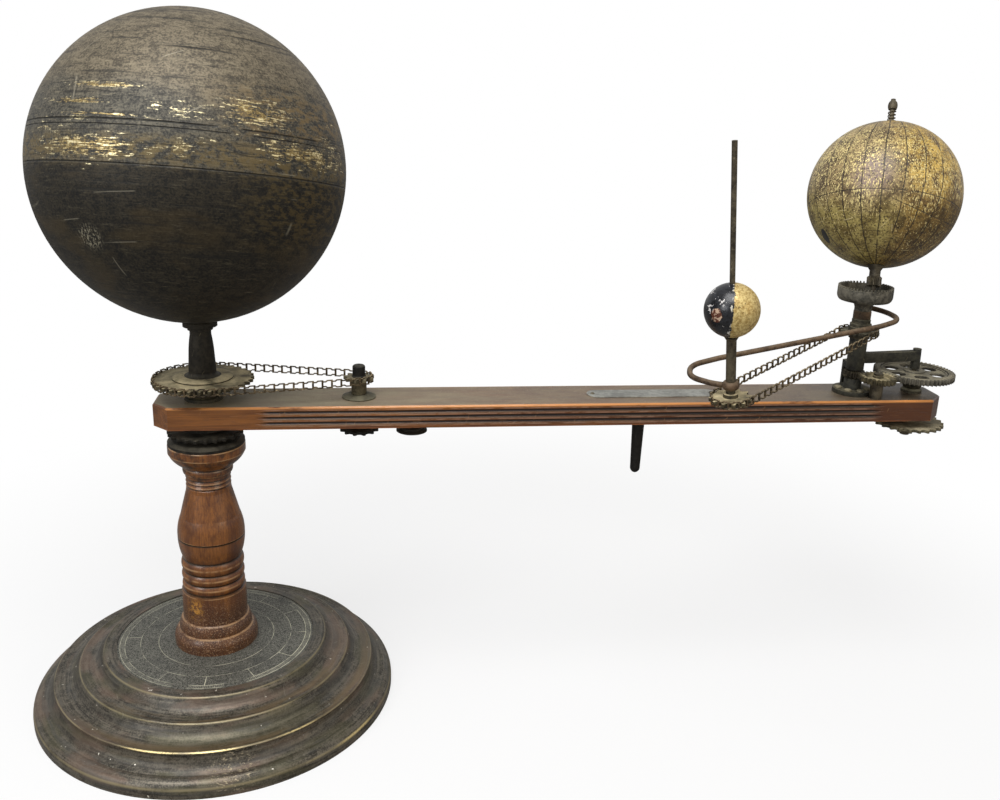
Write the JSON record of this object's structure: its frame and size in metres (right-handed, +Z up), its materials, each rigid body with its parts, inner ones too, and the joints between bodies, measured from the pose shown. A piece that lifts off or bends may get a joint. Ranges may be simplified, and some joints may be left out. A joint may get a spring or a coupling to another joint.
{
  "type": "orrery",
  "caption": "Chain and gear driven table orrery: a large Sun ball over a turned column on a round base, and a wooden arm that carries an Earth globe and a Moon.",
  "frame": {"origin": "on the Sun's axis, on the surface that the base stands on", "axes": "+X along the arm towards the Earth, +Z up; the Moon stands on the -Y side"},
  "size_m": [0.8241, 0.3148, 0.5854],
  "materials": {
    "spun_brass": "tarnished, spun",
    "sun_brass": "tarnished and scratched",
    "bearing_brass": "dull",
    "dark_iron": "dark, dusty",
    "steel": "dull",
    "chain": "dark, rusty",
    "copper_wire": "brown, dull",
    "plate": "bare, worn",
    "disc": "etched, dark grey",
    "varnished_wood": "worn varnish",
    "moon_wood": "one half dark, one half gold",
    "globe": "gold-brown, worn"
  },
  "bodies": {
    "base": {"base_shell": "spun_brass", "base_weight": "dark_iron", "base_washer": "spun_brass", "base_nut": "steel", "calendar_disc": "disc", "column": "varnished_wood", "column_cap_plate": "dark_iron", "column_sprocket": "bearing_brass", "central_spindle": "steel", "sun_sprocket": "bearing_brass", "sun_stem": "dark_iron", "sun_lower_shell": "sun_brass", "sun_upper_shell": "sun_brass", "sun_nut": "steel"},
    "arm": {"arm_board": "varnished_wood", "hub_bush": "bearing_brass", "hub_washer": "dark_iron", "small_shaft_bush": "bearing_brass", "guide_stud": "steel", "label_plate": "plate", "label_pins": "steel", "handle_peg": "dark_iron", "earth_post": "dark_iron", "post_screws": "steel", "post_sprocket": "bearing_brass", "idler_stud": "steel", "drive_bush": "bearing_brass", "earth_axis_pin": "steel", "axis_spring": "steel", "axis_knob": "steel", "sun_chain": "chain"},
    "small_shaft_set": {"small_shaft": "steel", "small_sprocket": "bearing_brass", "small_hub_cap": "dark_iron", "lower_sprocket": "bearing_brass"},
    "guide": {"guide_pulley": "dark_iron"},
    "drive": {"drive_gear": "bearing_brass", "drive_shaft": "steel", "drive_hub": "bearing_brass", "end_sprocket": "bearing_brass", "end_nut": "steel"},
    "idler": {"idler_gear": "bearing_brass"},
    "moon_carrier": {"drive_tube": "steel", "carrier_ring": "bearing_brass", "crown_wheel": "bearing_brass", "carrier_wire": "copper_wire", "moon_bearing": "bearing_brass", "moon_chain": "chain"},
    "moon_rod": {"moon_sprocket": "bearing_brass", "moon_spindle": "steel"},
    "moon": {"moon_ball": "moon_wood"},
    "earth": {"earth_globe": "globe", "earth_pinion": "steel", "earth_top_washer": "steel"}
  },
  "joints": [
    {"name": "arm_swing", "type": "hinge", "parent": "base", "child": "arm", "pos_m": [0, 0, 0.2556], "axis": [0, 0, 1], "continuous": true, "deforming": ["sun_chain"]},
    {"name": "small_shaft_spin", "type": "hinge", "parent": "arm", "child": "small_shaft_set", "pos_m": [0.12968, 0, 0.2556], "axis": [0, 0, 1], "continuous": true},
    {"name": "guide_spin", "type": "hinge", "parent": "arm", "child": "guide", "pos_m": [0.175, 0, 0.2465], "axis": [0, 0, 1], "continuous": true},
    {"name": "moon_orbit", "type": "hinge", "parent": "arm", "child": "moon_carrier", "pos_m": [0.5745, 0, 0.3316], "axis": [0, 0, 1], "continuous": true, "deforming": ["moon_chain"]},
    {"name": "idler_spin", "type": "hinge", "parent": "arm", "child": "idler", "pos_m": [0.58774, -0.01857, 0.2901], "axis": [0, 0, 1], "continuous": true},
    {"name": "drive_spin", "type": "hinge", "parent": "arm", "child": "drive", "pos_m": [0.632, 0, 0.2901], "axis": [0, 0, 1], "continuous": true},
    {"name": "moon_spin", "type": "hinge", "parent": "moon_carrier", "child": "moon_rod", "pos_m": [0.41847, -0.10604, 0.30509], "axis": [-0.1151, -0.0782, 0.9903], "continuous": true},
    {"name": "moon_slide", "type": "slide", "parent": "moon_rod", "child": "moon", "axis": [-0.1151, -0.0782, 0.9903], "range_m": [0, 0.09]},
    {"name": "earth_spin", "type": "hinge", "parent": "arm", "child": "earth", "pos_m": [0.586, 0.014, 0.4507], "axis": [0.1622, 0.3643, 0.9171], "continuous": true}
  ],
  "couplings": [
    {"joint": "small_shaft_spin", "follows": "arm_swing", "ratio": -3.5556},
    {"joint": "idler_spin", "follows": "moon_orbit", "ratio": -0.58333},
    {"joint": "drive_spin", "follows": "moon_orbit", "ratio": 0.25},
    {"joint": "moon_spin", "follows": "moon_orbit", "ratio": -1},
    {"joint": "earth_spin", "follows": "moon_orbit", "ratio": 4}
  ]
}
